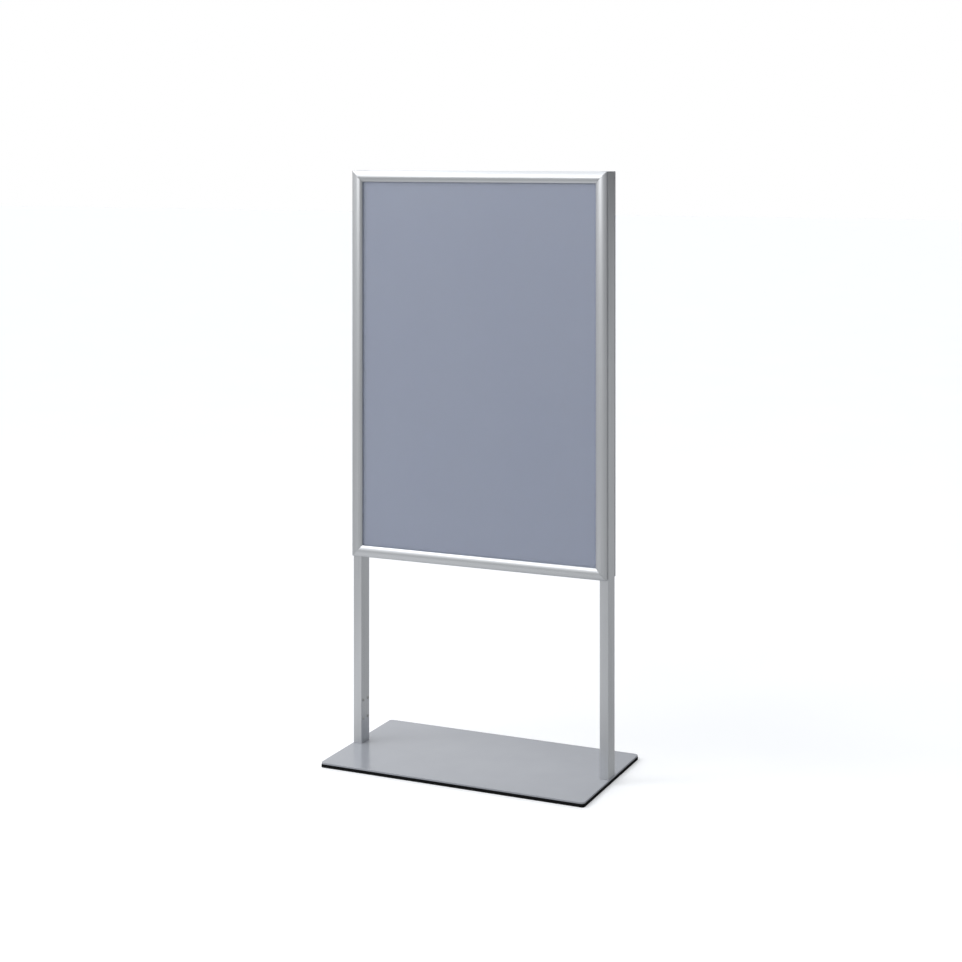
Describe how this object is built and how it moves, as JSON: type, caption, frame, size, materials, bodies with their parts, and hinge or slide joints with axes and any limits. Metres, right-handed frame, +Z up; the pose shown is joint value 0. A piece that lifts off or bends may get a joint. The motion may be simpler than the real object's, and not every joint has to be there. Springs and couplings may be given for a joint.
{
  "type": "sign stand",
  "caption": "Free-standing double-sided sign stand: snap frames back to back on twin posts, on a flat rectangular base plate.",
  "frame": {"origin": "middle of the rubber mat's underside, on the floor", "axes": "+Z up, X across the stand between the posts, front frame faces -Y"},
  "size_m": [0.73, 0.4, 1.545],
  "materials": {
    "anodised_aluminium": "satin silver anodised extrusion",
    "powder_coat": "smooth semi-gloss light grey powder coat",
    "rubber_mat": "matt black",
    "zinc_plated_steel": "bright zinc plate",
    "spring_steel": "plain rolled strip",
    "end_cap_plastic": "grey moulded",
    "backing_board": "blue-grey rigid board",
    "clear_sheet": "clear anti-glare sheet"
  },
  "bodies": {
    "stand": {"base_plate": "powder_coat", "base_mat": "rubber_mat", "post_left": "anodised_aluminium", "post_right": "anodised_aluminium", "post_spigot_left": "zinc_plated_steel", "post_spigot_right": "zinc_plated_steel", "post_cap_left": "end_cap_plastic", "post_cap_right": "end_cap_plastic", "spigot_screw_left_lower_front": "zinc_plated_steel", "spigot_screw_left_lower_back": "zinc_plated_steel", "spigot_screw_left_upper_front": "zinc_plated_steel", "spigot_screw_left_upper_back": "zinc_plated_steel", "spigot_screw_right_lower_front": "zinc_plated_steel", "spigot_screw_right_lower_back": "zinc_plated_steel", "spigot_screw_right_upper_front": "zinc_plated_steel", "spigot_screw_right_upper_back": "zinc_plated_steel", "front_base_rail_top": "anodised_aluminium", "front_base_rail_bottom": "anodised_aluminium", "front_base_rail_left": "anodised_aluminium", "front_base_rail_right": "anodised_aluminium", "front_spring_strip_top": "spring_steel", "front_spring_strip_bottom": "spring_steel", "front_spring_strip_left": "spring_steel", "front_spring_strip_right": "spring_steel", "front_corner_key_top_left": "zinc_plated_steel", "front_corner_key_top_right": "zinc_plated_steel", "front_corner_key_bottom_left": "zinc_plated_steel", "front_corner_key_bottom_right": "zinc_plated_steel", "front_frame_screw_left_upper": "zinc_plated_steel", "front_frame_screw_left_lower": "zinc_plated_steel", "front_frame_screw_right_upper": "zinc_plated_steel", "front_frame_screw_right_lower": "zinc_plated_steel", "front_backing_panel": "backing_board", "front_cover_sheet": "clear_sheet", "back_base_rail_top": "anodised_aluminium", "back_base_rail_bottom": "anodised_aluminium", "back_base_rail_left": "anodised_aluminium", "back_base_rail_right": "anodised_aluminium", "back_spring_strip_top": "spring_steel", "back_spring_strip_bottom": "spring_steel", "back_spring_strip_left": "spring_steel", "back_spring_strip_right": "spring_steel", "back_corner_key_top_left": "zinc_plated_steel", "back_corner_key_top_right": "zinc_plated_steel", "back_corner_key_bottom_left": "zinc_plated_steel", "back_corner_key_bottom_right": "zinc_plated_steel", "back_frame_screw_left_upper": "zinc_plated_steel", "back_frame_screw_left_lower": "zinc_plated_steel", "back_frame_screw_right_upper": "zinc_plated_steel", "back_frame_screw_right_lower": "zinc_plated_steel", "back_backing_panel": "backing_board", "back_cover_sheet": "clear_sheet"},
    "front_snap_rail_top_body": {"front_snap_rail_top": "anodised_aluminium"},
    "front_snap_rail_bottom_body": {"front_snap_rail_bottom": "anodised_aluminium"},
    "front_snap_rail_left_body": {"front_snap_rail_left": "anodised_aluminium"},
    "front_snap_rail_right_body": {"front_snap_rail_right": "anodised_aluminium"},
    "back_snap_rail_top_body": {"back_snap_rail_top": "anodised_aluminium"},
    "back_snap_rail_bottom_body": {"back_snap_rail_bottom": "anodised_aluminium"},
    "back_snap_rail_left_body": {"back_snap_rail_left": "anodised_aluminium"},
    "back_snap_rail_right_body": {"back_snap_rail_right": "anodised_aluminium"}
  },
  "joints": [
    {"name": "front_snap_rail_top_hinge", "type": "hinge", "parent": "stand", "child": "front_snap_rail_top_body", "pos_m": [0, -0.0279, 1.5416], "axis": [-1, 0, 0], "range_deg": [0, 90]},
    {"name": "front_snap_rail_bottom_hinge", "type": "hinge", "parent": "stand", "child": "front_snap_rail_bottom_body", "pos_m": [0, -0.0279, 0.5184], "axis": [1, 0, 0], "range_deg": [0, 90]},
    {"name": "front_snap_rail_left_hinge", "type": "hinge", "parent": "stand", "child": "front_snap_rail_left_body", "pos_m": [-0.35885, -0.0279, 1.03], "axis": [0, 0, -1], "range_deg": [0, 90]},
    {"name": "front_snap_rail_right_hinge", "type": "hinge", "parent": "stand", "child": "front_snap_rail_right_body", "pos_m": [0.35885, -0.0279, 1.03], "axis": [0, 0, 1], "range_deg": [0, 90]},
    {"name": "back_snap_rail_top_hinge", "type": "hinge", "parent": "stand", "child": "back_snap_rail_top_body", "pos_m": [0, 0.0279, 1.5416], "axis": [1, 0, 0], "range_deg": [0, 90]},
    {"name": "back_snap_rail_bottom_hinge", "type": "hinge", "parent": "stand", "child": "back_snap_rail_bottom_body", "pos_m": [0, 0.0279, 0.5184], "axis": [-1, 0, 0], "range_deg": [0, 90]},
    {"name": "back_snap_rail_left_hinge", "type": "hinge", "parent": "stand", "child": "back_snap_rail_left_body", "pos_m": [-0.35885, 0.0279, 1.03], "axis": [0, 0, 1], "range_deg": [0, 90]},
    {"name": "back_snap_rail_right_hinge", "type": "hinge", "parent": "stand", "child": "back_snap_rail_right_body", "pos_m": [0.35885, 0.0279, 1.03], "axis": [0, 0, -1], "range_deg": [0, 90]}
  ]
}
